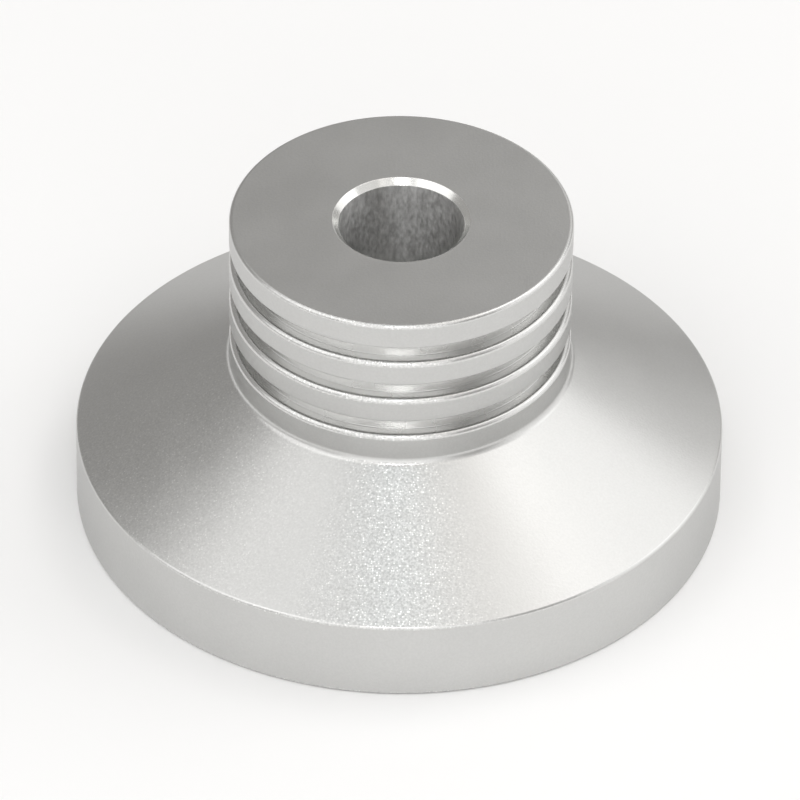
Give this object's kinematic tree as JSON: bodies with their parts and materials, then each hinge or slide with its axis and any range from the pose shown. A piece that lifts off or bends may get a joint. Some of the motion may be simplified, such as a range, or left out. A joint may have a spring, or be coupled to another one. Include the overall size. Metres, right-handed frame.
{
  "type": "record spindle adapter",
  "caption": "Turned metal adapter that centres a large-hole record on a narrow spindle: straight rim, cone shoulder, grooved finger grip and through bore.",
  "frame": {"origin": "centre of the flat underside, on the axis of the bore", "axes": "+Z along the bore, from the underside up to the flat top of the grip; the part is turned, so X and Y are alike"},
  "size_m": [0.038, 0.038, 0.02],
  "materials": {
    "anodised_aluminium": "bead blasted and clear anodised, satin silver"
  },
  "bodies": {
    "root": {"adapter_body": "anodised_aluminium"}
  },
  "joints": []
}
